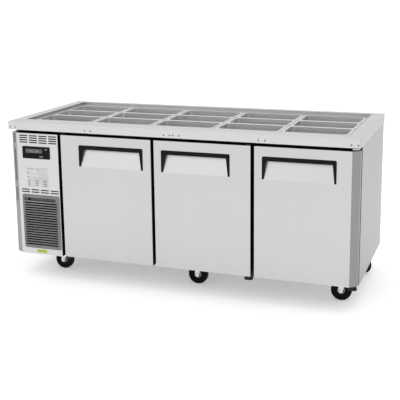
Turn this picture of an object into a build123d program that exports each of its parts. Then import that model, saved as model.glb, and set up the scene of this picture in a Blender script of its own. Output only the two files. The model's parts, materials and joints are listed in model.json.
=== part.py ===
"""Refrigerated sandwich prep table: three doors, side machine compartment, open pan rail on top.

Millimetres. Origin on the floor under the middle of the table, +X to the right, +Y to the back, +Z up.
"""

import math
import os

from build123d import *

# Overall size
WIDTH = 1800.0
DEPTH = 762.0
HEIGHT = 825.0
SHEET = 1.5
THIN = 1.0
RUNNING = 0.05
APART = 0.3

# Worktop frame
FASCIA = 43.0
TOP_LIP = 30.0
WELL_X = 840.0
WELL_FRONT = -300.0
WELL_BACK = 340.0
LEDGE_DEEP = 13.5
RAIL_X = 870.0
RAIL_LIP = 16.0
HOLE_PAIRS = (-873.0, -446.0, -24.0, 24.0, 446.0, 873.0)
HOLE_SPACING = 31.0
HOLE_R = 2.6
HOLE_Z = 795.0

# Pans, five columns of three
PAN_X = 325.0
PAN_Y = 176.0
PAN_DEEP = 100.0
PAN_RIM = 12.5
PAN_WALL = 0.9
PAN_TAPER = 3.0
COLUMN_PITCH = 330.0
COLUMNS = (-2, -1, 0, 1, 2)
ROW_CENTRES = (-152.0, 24.0, 200.0)
ROW_NAMES = ("front", "middle", "back")

# Cabinet
BASE_Z = 120.0
CASE_X = 897.0
CASE_BACK = 375.0
FACE_Y = -310.0
FOAM = 45.0
COLD_LEFT = -610.0
TUB_FLOOR = 700.0
TUB_FOAM = 40.0
POST_X = (-103.0, 400.5)
POST_WIDE = 60.0
POST_DEEP = 60.0
HEADER = 47.0
VENT_X = (-830.0, -700.0)
VENT_LONG = 120.0
VENT_HIGH = 6.0
VENT_Z = range(420, 600, 15)

# Shelves
SHELF_Z = 392.0
SHELF_Y = (-244.0, 322.0)
SHELF_X = ((-558.0, -110.0), (-96.0, 393.0), (407.0, 844.0))
SHELF_BAR = 6.0
SHELF_WIRE = 1.6
SHELF_PITCH = 30.0
CLIP = 14.0

# Doors
DOOR_FRONT = -378.0
DOOR_BACK = -320.0
DOOR_LOW = 130.0
DOOR_HIGH = 766.0
DOOR_X = ((-602.5, -110.6), (-95.8, 392.4), (408.5, 897.0))
DOOR_PIN = ((-590.5, -366.0), (380.4, -366.0), (874.0, -356.0))
DOOR_HANDLE_X = (-327.0, 117.0, 620.5)
BEVEL_X = 35.2
BEVEL_Y = 28.0
PIN_R = 4.0
PIN_DEEP = 22.0
PLINTH = 5.0
GASKET_WIDE = 18.0
GASKET_GAP = 0.5
BRACKET_HALF = 14.0
BRACKET_THICK = 5.0

# Handles
HANDLE_WIDE = 347.0
HANDLE_TOP = 720.0
HANDLE_LOW = 612.0
HANDLE_BAR = 20.0
HANDLE_DEEP = 22.0
HANDLE_PROUD = 2.0
LEG_TOP = 18.0
LEG_LOW = 9.0
HANDLE_CORNER = 7.0

# Machine compartment front
PANEL_RIGHT = -618.6
PANEL_LOW = 126.0
PANEL_BEVEL_X = 41.2
PROUD = 3.0
LOUVRE_X = (-816.4, -760.2, -704.6, -648.5)
LOUVRE_LONG = 46.0
LOUVRE_HIGH = 6.0
LOUVRE_Z = (753.5, 742.0, 730.5, 719.0, 471.0, 458.5)
SIDE_SLOT_LONG = 22.0
SIDE_SLOT_PITCH = 12.4
SIDE_SLOT_GROUPS = ((754.0, 4), (677.0, 14), (469.0, 6))
BEZEL = (-823.5, -666.0, 635.5, 698.5)
KEY_X = (-726.0, -704.0)
KEY_Z = (642.0, 652.0)
GRILLE = (-837.3, -623.0, 158.0, 445.0)
GRILLE_SLOTS = 18
GRILLE_SLOT_LOW = 173.0
GRILLE_SLOT_TOP = 408.0
GRILLE_SLOT_HIGH = 7.2
KNOB_X = -801.0
KNOB_Z = 421.0
KNOB_R = 7.0

# Refrigeration
CONDENSER_X = (-840.0, -625.0)
CONDENSER_Y = (-358.0, -318.0)
CONDENSER_TOP = 440.0
SHROUD = 60.0
FAN_Y = -275.0
FAN_CENTRE = (-730.0, 300.0)
EVAPORATOR = (-564.0, -470.0, -180.0, 240.0, 440.0, 660.0)
EVAPORATOR_FAN = (30.0, 560.0)
COMPRESSOR_PLACE = (-735.0, 20.0)

# Casters
WHEEL_R = 50.0
WHEEL_WIDE = 32.0
TRAIL = 30.0
AXLE_R = 6.0
BOLT_X = 37.0
BOLT_Y = 25.0
CROWN_Z = 106.0
CASTERS = {
    "front_left": (-673.0, -200.0, 180.0),
    "front_middle": (95.0, -200.0, 180.0),
    "front_right": (827.0, -200.0, 180.0),
    "rear_left": (-800.0, 250.0, 180.0),
    "rear_middle": (95.0, 250.0, 180.0),
    "rear_right": (812.0, 235.0, -40.0),
}

PARTS = {}


def keep(name, *solids):
    """Files the solids under a node name."""
    PARTS[name] = list(solids)


def block(x0, x1, y0, y1, z0, z1):
    """A box given by its two corners."""
    return Pos((x0 + x1) / 2, (y0 + y1) / 2, (z0 + z1) / 2) * Box(x1 - x0, y1 - y0, z1 - z0)


def rod(radius, start, end):
    """A round bar between two points."""
    line = Vector(*end) - Vector(*start)
    return extrude(Plane(origin=start, z_dir=line) * Circle(radius), line.length)


def join(first, *others):
    """One solid from several that touch or overlap."""
    return first.fuse(*others)


def prism(points, z0, z1):
    """A plan outline pulled up from z0 to z1."""
    return extrude(Pos(0, 0, z0) * make_face(Polyline(*points, close=True)), z1 - z0)


def side_prism(points, x0, x1):
    """An outline in Y and Z pulled along X from x0 to x1."""
    outline = Plane(origin=(x0, 0, 0), x_dir=(0, 1, 0), z_dir=(1, 0, 0)) * make_face(
        Polyline(*points, close=True)
    )
    return extrude(outline, x1 - x0)


def front_prism(points, y0, y1):
    """An outline in X and Z pulled along Y from y0 to y1."""
    outline = Plane(origin=(0, y0, 0), x_dir=(1, 0, 0), z_dir=(0, -1, 0)) * make_face(
        Polyline(*points, close=True)
    )
    return extrude(outline, y0 - y1)


# --- Worktop, well and pans ---


def worktop():
    """The mitred steel rim with its folded fascia, front lip and the fold round the well."""
    low = HEIGHT - FASCIA
    x, y = WIDTH / 2, DEPTH / 2
    body = block(-x, x, -y, y, low, HEIGHT)
    rim = body.edges().group_by(Axis.Z)[-1]
    body = fillet(rim + body.edges().filter_by(Axis.Z), 3)
    inner = block(-x + SHEET, x - SHEET, -y + SHEET, y - SHEET, low, HEIGHT - SHEET)
    lip = block(-x + SHEET, x - SHEET, -y + SHEET, -y + TOP_LIP, low, low + SHEET)
    fold_low = HEIGHT - LEDGE_DEEP
    fold = block(
        -WELL_X - SHEET, WELL_X + SHEET, WELL_FRONT - SHEET, WELL_BACK + SHEET, fold_low, HEIGHT - SHEET
    )
    well = block(-WELL_X, WELL_X, WELL_FRONT, WELL_BACK, low - 1, HEIGHT + 1)
    frame = body - inner + lip + fold - well
    places = [pair + side * HOLE_SPACING / 2 for pair in HOLE_PAIRS for side in (-1, 1)]
    return frame - [rod(HOLE_R, (place, -y - 1, HOLE_Z), (place, -y + 4, HOLE_Z)) for place in places]


def well_opening():
    """Half width, front and back of the opening that the pans hang in."""
    half = COLUMN_PITCH * 2 + PAN_X / 2 - 7.5
    return half, ROW_CENTRES[0] - PAN_Y / 2 + 8, ROW_CENTRES[-1] + PAN_Y / 2 - 8


def pan_rail():
    """The ledge that the pan rims rest on: four angle strips butted at the corners, lips at the opening."""
    top = HEIGHT - LEDGE_DEEP
    half, front, back = well_opening()
    outer_front, outer_back = WELL_FRONT - 20, WELL_BACK + 15

    def angle(x0, x1, y0, y1, *lip):
        return block(x0, x1, y0, y1, top - SHEET, top) + block(*lip, top - RAIL_LIP, top - SHEET)

    return (
        angle(-RAIL_X, RAIL_X, outer_front, front, -half - SHEET, half + SHEET, front - SHEET, front),
        angle(-RAIL_X, RAIL_X, back, outer_back, -half - SHEET, half + SHEET, back, back + SHEET),
        angle(-RAIL_X, -half, front, back, -half - SHEET, -half, front, back),
        angle(half, RAIL_X, front, back, half, half + SHEET, front, back),
    )


def divider_bars():
    """Four channels between the pan columns, held by the ledge's lips at their ends."""
    top = HEIGHT - LEDGE_DEEP
    _, front, back = well_opening()
    bars = []
    for step in (-1.5, -0.5, 0.5, 1.5):
        x = step * COLUMN_PITCH
        bar = block(x - 11, x + 11, front, back, top - 14, top)
        bars.append(bar - block(x - 9.5, x + 9.5, front + 2, back - 2, top - 15, top - SHEET))
    return bars


def rounded_plate(long, wide, corner, thick):
    """A flat plate with rounded corners, its underside at z = 0."""
    return extrude(RectangleRounded(long, wide, corner), thick)


def pan():
    """A third-size pan, its rim's underside at z = 0."""
    long, wide = PAN_X - 2 * PAN_RIM, PAN_Y - 2 * PAN_RIM
    outer = extrude(RectangleRounded(long, wide, 22), -PAN_DEEP, taper=PAN_TAPER)
    inner = extrude(
        Pos(0, 0, 1) * RectangleRounded(long - 2 * PAN_WALL, wide - 2 * PAN_WALL, 21.1),
        -PAN_DEEP + PAN_WALL - 1,
        taper=PAN_TAPER,
    )
    rim = rounded_plate(PAN_X - 1, PAN_Y - 1, 20, 1.2)
    mouth = Pos(0, 0, -1) * rounded_plate(long - 2 * PAN_WALL, wide - 2 * PAN_WALL, 21.1, 5)
    return outer + rim - inner - mouth


def pans():
    """The fifteen pans in their places on the ledge."""
    one = pan()
    rest = HEIGHT - LEDGE_DEEP + APART
    for number, column in enumerate(COLUMNS, 1):
        for name, y in zip(ROW_NAMES, ROW_CENTRES):
            keep(f"pan_{number}_{name}", Pos(column * COLUMN_PITCH, y, rest) * one)


# --- Cabinet ---


def outer_casing():
    """The bent sheet round the sides and back, vented behind the compressor, and the base plate."""
    top = HEIGHT - SHEET
    outer = block(-CASE_X, CASE_X, FACE_Y + THIN, CASE_BACK, BASE_Z + 2, top)
    inner = block(-CASE_X + THIN, CASE_X - THIN, FACE_Y, CASE_BACK - THIN, BASE_Z, top + 1)
    y0, y1 = CASE_BACK - 5, CASE_BACK + 5
    vents = [block(x, x + VENT_LONG, y0, y1, z, z + VENT_HIGH) for x in VENT_X for z in VENT_Z]
    base = block(-CASE_X, CASE_X, FACE_Y + THIN, CASE_BACK, BASE_Z, BASE_Z + 2)
    return outer - inner - vents, base


def bulkhead():
    """The sheet lining the machine compartment, slotted at the front for the panel's folded edges."""
    left, front, back = -CASE_X + THIN, FACE_Y + THIN, CASE_BACK - THIN
    low, ceiling = BASE_Z + 2, TUB_FLOOR - TUB_FOAM
    wall = block(COLD_LEFT - THIN, COLD_LEFT, front, back, low, ceiling)
    roof = block(left, COLD_LEFT, front, back, ceiling - THIN, ceiling)
    face = block(left, COLD_LEFT, FACE_Y, front, ceiling - THIN, HEIGHT - LEDGE_DEEP - SHEET)
    top_slot = block(left, PANEL_RIGHT, FACE_Y, front, DOOR_HIGH - THIN, DOOR_HIGH)
    side_slot = block(PANEL_RIGHT - THIN, PANEL_RIGHT, FACE_Y, front, ceiling - THIN, DOOR_HIGH)
    return wall + roof + (face - top_slot - side_slot)


def insulation():
    """Foam slabs of the cold cabinet and of the tub round the pans."""
    left, right = COLD_LEFT, CASE_X - THIN
    front, back = FACE_Y + THIN, CASE_BACK - THIN
    low, top = BASE_Z + 2, HEIGHT - LEDGE_DEEP - SHEET
    tub_x = CASE_X - THIN - FOAM
    return [
        block(left, right, front, back, low, low + FOAM),
        block(right - FOAM, right, front, back, low + FOAM, top),
        block(left, right - FOAM, back - FOAM, back, low + FOAM, top),
        block(left, left + FOAM, front, back - FOAM, low + FOAM, TUB_FLOOR - TUB_FOAM),
        block(-right, left + FOAM, front, back - FOAM, TUB_FLOOR - TUB_FOAM, TUB_FLOOR),
        block(-right, -tub_x, front, back - FOAM, TUB_FLOOR, top),
        block(-tub_x, tub_x, front, front + HEADER, TUB_FLOOR, top),
        block(-right, left, back - FOAM, back, TUB_FLOOR - TUB_FOAM, top),
    ]


def cabinet_liner():
    """The inner steel box, its tub over the machine compartment, and the flange the gaskets close on."""
    left, right = COLD_LEFT + FOAM, CASE_X - THIN - FOAM
    front, back = FACE_Y + THIN, CASE_BACK - THIN - FOAM
    low, top = BASE_Z + 2 + FOAM, HEIGHT - LEDGE_DEEP - SHEET
    header = front + HEADER
    skin = block(left, right, front, back, low, TUB_FLOOR)
    skin += block(-right, right, header, back, TUB_FLOOR, top)
    inside_left, inside_right, inside_back = left + THIN, right - THIN, back - THIN
    cold = block(inside_left, inside_right, front - 2, inside_back, low + THIN, TUB_FLOOR - THIN)
    cold += block(inside_left, inside_right, header + THIN, inside_back, low + THIN, top + 1)
    tub = block(-inside_right, inside_right, header + THIN, inside_back, TUB_FLOOR + THIN, top + 1)
    flange = block(COLD_LEFT, CASE_X, FACE_Y, front, BASE_Z, top)
    flange -= block(inside_left, inside_right, FACE_Y - 1, front + 1, low + THIN, TUB_FLOOR - THIN)
    return skin - cold - tub + flange


def mullion_posts():
    """The two posts between the door openings."""
    low, high = BASE_Z + 2 + FOAM + THIN, TUB_FLOOR - THIN
    return [
        block(x - POST_WIDE / 2, x + POST_WIDE / 2, FACE_Y, FACE_Y + POST_DEEP, low, high) for x in POST_X
    ]


def wire_shelf(x0, x1):
    """A welded shelf: a square-bar frame with round wires from front to back."""
    y0, y1 = SHELF_Y
    half = SHELF_BAR / 2
    low, high = SHELF_Z - half, SHELF_Z + half
    middle = (y0 + y1) / 2
    hole = block(x0 + SHELF_BAR, x1 - SHELF_BAR, y0 + SHELF_BAR, y1 - SHELF_BAR, low - 1, high + 1)
    frame = block(x0, x1, y0, y1, low, high) - hole
    cross = block(x0 + 1, x1 - 1, middle - half, middle + half, low, high)
    count = round((x1 - x0) / SHELF_PITCH)
    step = (x1 - x0) / count
    places = [x0 + i * step for i in range(1, count)]
    wires = [rod(SHELF_WIRE, (x, y0 + 2, high - 0.6), (x, y1 - 2, high - 0.6)) for x in places]
    return join(frame, cross, *wires)


def shelf_clips():
    """Clips on the back wall, the end walls and the posts that the shelf frames rest on."""
    top = SHELF_Z - SHELF_BAR / 2
    wall = CASE_BACK - 2 * THIN - FOAM
    clips = []
    for x0, x1 in SHELF_X:
        for x in (x0 + CLIP, x1 - CLIP):
            clips.append(block(x - 6, x + 6, wall - CLIP, wall, top - 10, top))
    post_back = FACE_Y + POST_DEEP
    for x in (SHELF_X[0][1] - 8, SHELF_X[1][0] + 8, SHELF_X[1][1] - 8, SHELF_X[2][0] + 8):
        clips.append(block(x - 6, x + 6, post_back, post_back + CLIP, top - 10, top))
    left = COLD_LEFT + FOAM + THIN
    right = CASE_X - 2 * THIN - FOAM
    front = SHELF_Y[0]
    clips.append(block(left, left + CLIP, front, front + 12, top - 10, top))
    clips.append(block(right - CLIP, right, front, front + 12, top - 10, top))
    return clips


# --- Doors ---


def handle_wedge(centre):
    """The scooped recess: full depth at the top, running out to nothing at the bottom."""
    half = HANDLE_WIDE / 2
    front = DOOR_FRONT - HANDLE_PROUD
    outline = (
        (front, HANDLE_TOP),
        (DOOR_FRONT + HANDLE_DEEP, HANDLE_TOP),
        (DOOR_FRONT + HANDLE_DEEP, HANDLE_TOP - HANDLE_BAR - 4),
        (DOOR_FRONT, HANDLE_LOW),
        (front, HANDLE_LOW),
    )
    return side_prism(outline, centre - half, centre + half)


def grown_wedge(centre):
    """The recess with the door skin's thickness added round it."""
    half = HANDLE_WIDE / 2 + THIN
    front = DOOR_FRONT - HANDLE_PROUD
    deep = DOOR_FRONT + HANDLE_DEEP + THIN
    outline = (
        (front, HANDLE_TOP + THIN),
        (deep, HANDLE_TOP + THIN),
        (deep, HANDLE_TOP - HANDLE_BAR - 4),
        (DOOR_FRONT + THIN, HANDLE_LOW - THIN),
        (front, HANDLE_LOW - THIN),
    )
    return side_prism(outline, centre - half, centre + half)


def handle(centre):
    """The black grip: a bar across the top of the recess and a tapering cheek at each end."""
    half = HANDLE_WIDE / 2
    top, low = HANDLE_TOP - HANDLE_BAR, HANDLE_LOW
    mouth = (
        (centre - half + LEG_TOP, top),
        (centre + half - LEG_TOP, top),
        (centre + half - LEG_LOW, low - 1),
        (centre - half + LEG_LOW, low - 1),
    )
    scoop = front_prism(mouth, DOOR_FRONT + 60, DOOR_FRONT - 10)
    inside = half - LEG_TOP
    fingers = block(
        centre - inside, centre + inside, DOOR_FRONT + 6, DOOR_FRONT + 60, top - 1, HANDLE_TOP - 4
    )
    grip = handle_wedge(centre)
    corners = grip.edges().filter_by(Axis.Y).group_by(Axis.Z)[-1]
    return fillet(corners, HANDLE_CORNER) - scoop - fingers


def bevel_shift(long, deep, inset):
    """How far a bevel's two corners move along their faces when the outline shrinks by inset."""
    turn = math.atan2(deep, long)
    return inset * math.tan(turn / 2), inset * math.tan((math.pi / 2 - turn) / 2)


def door_slab(index, inset, back):
    """The door's plan outline shrunk by inset and pulled up, with its front edges rounded."""
    x0, x1 = DOOR_X[index]
    x0, x1, front = x0 + inset, x1 - inset, DOOR_FRONT + inset
    corners = [(x1, front)]
    if index == 2:
        on_front, on_side = bevel_shift(BEVEL_X, BEVEL_Y, inset)
        corners = [
            (x1 + inset - BEVEL_X - on_front, front),
            (x1, front - inset + BEVEL_Y + on_side),
        ]
    outline = ((x0, front), *corners, (x1, back), (x0, back))
    slab = prism(outline, DOOR_LOW + inset, DOOR_HIGH - inset)
    front_edges = slab.edges().filter_by(Axis.Z).filter_by(lambda edge: edge.center().Y < front + 1)
    return fillet(front_edges, 3 - inset)


def pin_sockets(index, radius, deep):
    """Round bars over the sockets of a door's two hinge pins."""
    x, y = DOOR_PIN[index]
    low, high = DOOR_LOW - 1, DOOR_HIGH + 1
    return [
        rod(radius, (x, y, low), (x, y, DOOR_LOW + deep)),
        rod(radius, (x, y, DOOR_HIGH - deep), (x, y, high)),
    ]


def plinth(index, inset):
    """The raised field inside the gasket on the door's inner plate, shrunk by inset."""
    x0, x1, z0, z1 = gasket_box(index)
    edge = GASKET_WIDE + 4 + inset
    field = block(x0 + edge, x1 - edge, DOOR_BACK - THIN, DOOR_BACK + PLINTH - inset, z0 + edge, z1 - edge)
    return fillet(field.edges().filter_by(Axis.Y), 12 - inset)


def door(index):
    """Outer skin folded round the front and edges, inner plate with its plinth, and the foam between."""
    centre = DOOR_HANDLE_X[index]
    recess = handle_wedge(centre)
    corners = recess.edges().filter_by(Axis.Y).group_by(Axis.Z)[-1]
    cavity = door_slab(index, THIN, DOOR_BACK + 10)
    cavity = cavity - grown_wedge(centre) - pin_sockets(index, PIN_R + RUNNING + THIN, PIN_DEEP + THIN)
    holes = pin_sockets(index, PIN_R + RUNNING, PIN_DEEP)
    skin = door_slab(index, 0, DOOR_BACK) - fillet(corners, HANDLE_CORNER) - holes - cavity
    x0, x1 = DOOR_X[index]
    low, high = DOOR_LOW + THIN, DOOR_HIGH - THIN
    plate = block(x0 + THIN, x1 - THIN, DOOR_BACK - THIN, DOOR_BACK, low, high)
    dish = plinth(index, THIN)
    plate = plate + plinth(index, 0) - dish
    behind = block(x0 - 1, x1 + 1, DOOR_BACK - THIN, DOOR_BACK + 20, DOOR_LOW - 1, DOOR_HIGH + 1)
    return skin, plate, cavity - behind + dish


def gasket_box(index):
    """Outer left, right, bottom and top of a door's gasket."""
    x0, x1 = DOOR_X[index]
    pin_x = DOOR_PIN[index][0]
    if index == 0:
        return pin_x + 1.5, x1 - 2, DOOR_LOW + 8, DOOR_HIGH - 10
    return x0 + 2, pin_x - 1.5, DOOR_LOW + 8, DOOR_HIGH - 10


def gasket(index):
    """The magnetic seal round the door's inner plate, just clear of the cabinet's face."""
    x0, x1, z0, z1 = gasket_box(index)
    w = GASKET_WIDE
    ring = block(x0, x1, DOOR_BACK, FACE_Y - GASKET_GAP, z0, z1)
    return ring - block(x0 + w, x1 - w, DOOR_BACK - 1, FACE_Y, z0 + w, z1 - w)


def hinge_brackets():
    """A bracket with a fixed pin above and below each door."""
    brackets = []
    half = BRACKET_HALF
    for x, y in DOOR_PIN:
        z = DOOR_HIGH + 3
        arm = block(x - half, x + half, y, FACE_Y, z, z + 4) + rod(half, (x, y, z), (x, y, z + 4))
        arm += block(x - half, x + half, FACE_Y - 3, FACE_Y, z, HEIGHT - FASCIA - 2)
        arm += rod(8, (x, y, DOOR_HIGH + 0.6), (x, y, z))
        brackets.append(arm + rod(PIN_R, (x, y, DOOR_HIGH - 18), (x, y, z)))
        low = BASE_Z - BRACKET_THICK
        arm = block(x - half, x + half, y, FACE_Y + 60, low, BASE_Z)
        arm += rod(half, (x, y, low), (x, y, BASE_Z))
        arm += rod(12, (x, y, BASE_Z), (x, y, DOOR_LOW - 0.6))
        brackets.append(arm + rod(PIN_R, (x, y, BASE_Z), (x, y, DOOR_LOW + 18)))
    return brackets


# --- Machine compartment ---


def louvre_panel():
    """The folded front cover with air slots, a bevelled left edge and openings for controller and grille."""
    x0, x1 = -CASE_X, PANEL_RIGHT
    y0, y1 = DOOR_FRONT, FACE_Y + THIN
    t = THIN
    corner = x0 + PANEL_BEVEL_X
    outer = prism(((x1, y0), (corner, y0), (x0, y0 + BEVEL_Y), (x0, y1), (x1, y1)), PANEL_LOW, DOOR_HIGH)
    on_front, on_side = bevel_shift(PANEL_BEVEL_X, BEVEL_Y, t)
    inside = (
        (x1 - t, y0 + t),
        (corner + on_front, y0 + t),
        (x0 + t, y0 + BEVEL_Y + on_side),
        (x0 + t, y1 + 5),
        (x1 - t, y1 + 5),
    )
    shell = outer - prism(inside, PANEL_LOW + t, DOOR_HIGH - t)
    long, high = LOUVRE_LONG / 2, LOUVRE_HIGH / 2
    cuts = [
        block(x - long, x + long, y0 - 2, y0 + 3, z - high, z + high) for x in LOUVRE_X for z in LOUVRE_Z
    ]
    slope = math.degrees(math.atan2(BEVEL_Y, PANEL_BEVEL_X))
    middle = (x0 + PANEL_BEVEL_X / 2, y0 + BEVEL_Y / 2)
    for top, count in SIDE_SLOT_GROUPS:
        for i in range(count):
            place = Pos(middle[0], middle[1], top - i * SIDE_SLOT_PITCH) * Rot(0, 0, -slope)
            cuts.append(place * Box(SIDE_SLOT_LONG, 8, LOUVRE_HIGH))
    for (left, right, low, top), margin in ((GRILLE, 5), (BEZEL, 4)):
        cuts.append(block(left + margin, right - margin, y0 - 2, y0 + 5, low + margin, top - margin))
    return shell - cuts


def controller_housing():
    """The control box behind its bezel, with a sunk display window and a pocket for the key."""
    left, right, low, high = BEZEL
    front = DOOR_FRONT - PROUD
    bezel = block(left, right, front, DOOR_FRONT, low, high)
    bezel = fillet(bezel.edges().filter_by(Axis.Y), 4)
    box = block(left + 5, right - 5, DOOR_FRONT, DOOR_FRONT + 40, low + 5, high - 5)
    window = block(left + 18, right - 42, front - 1, front + 1, high - 34, high - 12)
    pocket = block(
        KEY_X[0] - APART, KEY_X[1] + APART, front - 1, front + 5, KEY_Z[0] - APART, KEY_Z[1] + APART
    )
    return bezel + box - window - pocket


def controller_key():
    """The one travelling key, level with the bezel's face."""
    front = DOOR_FRONT - PROUD
    key = block(KEY_X[0], KEY_X[1], front, front + 3.2, KEY_Z[0], KEY_Z[1])
    return fillet(key.edges().group_by(Axis.Y)[0], 0.5)


def filter_grille():
    """The pull-off air filter frame: slots between bars, and a finger recess with a hole for the knob."""
    left, right, low, high = GRILLE
    front, rear = DOOR_FRONT - PROUD, DOOR_FRONT + 10
    flange = block(left, right, front, DOOR_FRONT - APART, low, high)
    flange = fillet(flange.edges().filter_by(Axis.Y), 10)
    flange = fillet(flange.edges().group_by(Axis.Y)[0], 1.5)
    grille = flange + block(left + 6, right - 6, DOOR_FRONT - APART, rear, low + 6, high - 6)
    slot_left, slot_right = left + 11.6, right - 15
    pitch = (GRILLE_SLOT_TOP - GRILLE_SLOT_LOW) / GRILLE_SLOTS
    half = GRILLE_SLOT_HIGH / 2
    for i in range(GRILLE_SLOTS):
        z = GRILLE_SLOT_LOW + pitch * (i + 0.5)
        grille = grille - block(slot_left, slot_right, front - 1, rear + 2, z - half, z + half)
    grille = grille - block(slot_left, slot_right - 6, front - 1, front + 7, KNOB_Z - 8, KNOB_Z + 8)
    return grille - rod(3 + RUNNING, (KNOB_X, front, KNOB_Z), (KNOB_X, rear + 2, KNOB_Z))


def grille_knob():
    """The quarter-turn knob: a head with a finger bar, and a pin through the grille."""
    front, rear = DOOR_FRONT - PROUD, DOOR_FRONT + 13
    head = rod(KNOB_R, (KNOB_X, front + 2.2, KNOB_Z), (KNOB_X, front + 6.7, KNOB_Z))
    bar = block(KNOB_X - 1.5, KNOB_X + 1.5, front, front + 3, KNOB_Z - 6, KNOB_Z + 6)
    pin = rod(3, (KNOB_X, front + 6, KNOB_Z), (KNOB_X, rear, KNOB_Z))
    tongue = block(KNOB_X - 2, KNOB_X + 2, rear - 2.5, rear, KNOB_Z - KNOB_R, KNOB_Z + KNOB_R)
    return head + bar + pin + tongue


def condenser():
    """A finned coil with end plates and return bends, and the fan's shroud behind it."""
    x0, x1 = CONDENSER_X
    y0, y1 = CONDENSER_Y
    top = CONDENSER_TOP
    core = block(x0 + 12, x1 - 12, y0, y1, 170, 430)
    grooves = [block(x, x + 2.5, y0 - 1, y0 + 18, 172, 428) for x in range(-825, -642, 6)]
    base = PANEL_LOW + THIN
    plates = [block(x, x + 2, y0, y1, base, top) for x in (x0 + 10, x1 - 12)]
    bends = []
    y = (y0 + y1) / 2
    for x, turn in ((x0 + 10, -1), (x1 - 10, 1)):
        for z in range(185, 420, 50):
            bends += [rod(4, (x, y, level), (x + turn * 8, y, level)) for level in (z, z + 25)]
            bends.append(rod(4, (x + turn * 6, y, z), (x + turn * 6, y, z + 25)))
    cx, cz = FAN_CENTRE
    rear = y1 + SHROUD
    shroud = block(x0 + 10, x1 - 10, y1, rear, base, top)
    shroud = shroud - block(x0 + 12, x1 - 12, y1 - 1, rear - 2, 162, top - 2)
    shroud = shroud - rod(94, (cx, rear - 10, cz), (cx, rear + 10, cz))
    return join(core - grooves, *plates, *bends, shroud)


def fan(radius, hub, deep, blades, bore):
    """A fan wheel with its axis along +Z and its middle at the origin."""
    wheel = Cylinder(hub, deep)
    for i in range(blades):
        blade = Rot(28, 0, 0) * Box(radius - hub + 2, radius * 0.52, 2)
        wheel += Rot(0, 0, i * 360 / blades) * Pos((hub + radius) / 2 - 1, 0, 0) * blade
    wheel = wheel & Cylinder(radius, deep * 3)
    return wheel - Cylinder(bore + RUNNING, deep * 2)


def condenser_fan():
    """The wheel that draws air through the condenser."""
    cx, cz = FAN_CENTRE
    return Pos(cx, FAN_Y, cz) * Rot(90, 0, 0) * fan(88, 22, 18, 5, 4)


def evaporator():
    """The cold coil in its cover, with a round outlet on the right for the fan."""
    x0, x1, y0, y1, z0, z1 = EVAPORATOR
    t = THIN
    cover = block(x0, x1, y0, y1, z0, z1) - block(x0 - 1, x1 - t, y0 + t, y1 - t, z0 + t, z1 - t)
    cy, cz = EVAPORATOR_FAN
    cover = cover - rod(78, (x1 - 5, cy, cz), (x1 + 5, cy, cz))
    cover = cover - [block(x0 + 12, x1 - 12, y0 - 1, y0 + 2, z, z + 6) for z in range(470, 640, 14)]
    tray = block(x0, x1, y0, y1, z0 - 12, z0)
    coil = block(x0, x0 + 40, y0 + t, y1 - t, z0 + t, z1 - t)
    gaps = range(int(y0) + 6, int(y1) - 8, 10)
    coil = coil - [block(x0 + 22, x0 + 41, y, y + 4, z0 + 6, z1 - 6) for y in gaps]
    return cover + tray + coil


def evaporator_fan():
    """The wheel that blows cold air into the bays."""
    cy, cz = EVAPORATOR_FAN
    return Pos(EVAPORATOR[1] - 16, cy, cz) * Rot(0, 90, 0) * fan(72, 18, 14, 5, 4)


def fan_motors():
    """The two fan motors with their shafts; the condenser's stands on a strap across its shroud."""
    cx, cz = FAN_CENTRE
    back = CONDENSER_Y[1] + SHROUD
    first = join(
        rod(32, (cx, back, cz), (cx, back + 50, cz)),
        rod(4, (cx, FAN_Y - 14, cz), (cx, back, cz)),
        block(cx - 102, cx + 102, back, back + 3, cz - 9, cz + 9),
        rod(40, (cx, back, cz), (cx, back + 3, cz)),
    )
    cy, cz = EVAPORATOR_FAN
    x = EVAPORATOR[0] + 40
    second = rod(32, (x, cy, cz), (x + 22, cy, cz)) + rod(4, (x + 22, cy, cz), (EVAPORATOR[1] - 4, cy, cz))
    return first, second


def compressor():
    """A hermetic compressor: domed shell on a base plate with four feet, and a terminal box."""
    x, y = COMPRESSOR_PLACE
    base = BASE_Z + 2
    shell = Pos(x, y, base + 120) * Cylinder(86, 130)
    shell = fillet(shell.edges(), 40)
    seam = Pos(x, y, base + 120) * Cylinder(89, 8)
    plate = block(x - 105, x + 105, y - 80, y + 80, base + 12, base + 16)
    feet = [Pos(x + i * 88, y + j * 62, base + 6) * Cylinder(13, 12) for i in (-1, 1) for j in (-1, 1)]
    saddle = Pos(x, y, base + 37) * Cylinder(60, 44)
    terminal = block(x - 30, x + 30, y + 70, y + 112, base + 95, base + 165)
    suction = rod(6, (x + 60, y, base + 125), (x + 60, y, base + 215))
    return join(shell, seam, plate, *feet, saddle, terminal, suction)


# --- Casters ---


def caster_place(name):
    """Where a caster's swivel axis stands and which way it trails."""
    x, y, heading = CASTERS[name]
    return Pos(x, y, 0) * Rot(0, 0, heading)


def caster_plate():
    """The fixed top plate with its race and king pin."""
    plate = block(-48, 48, -36, 36, BASE_Z - 4, BASE_Z)
    plate = fillet(plate.edges().filter_by(Axis.Z), 6)
    places = [(i * BOLT_X, j * BOLT_Y) for i in (-1, 1) for j in (-1, 1)]
    holes = [rod(4.3, (x, y, BASE_Z - 5), (x, y, BASE_Z + 1)) for x, y in places]
    race = Pos(0, 0, BASE_Z - 9) * Cylinder(25, 10)
    return plate + race + rod(6, (0, 0, CROWN_Z - 10), (0, 0, CROWN_Z)) - holes


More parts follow.
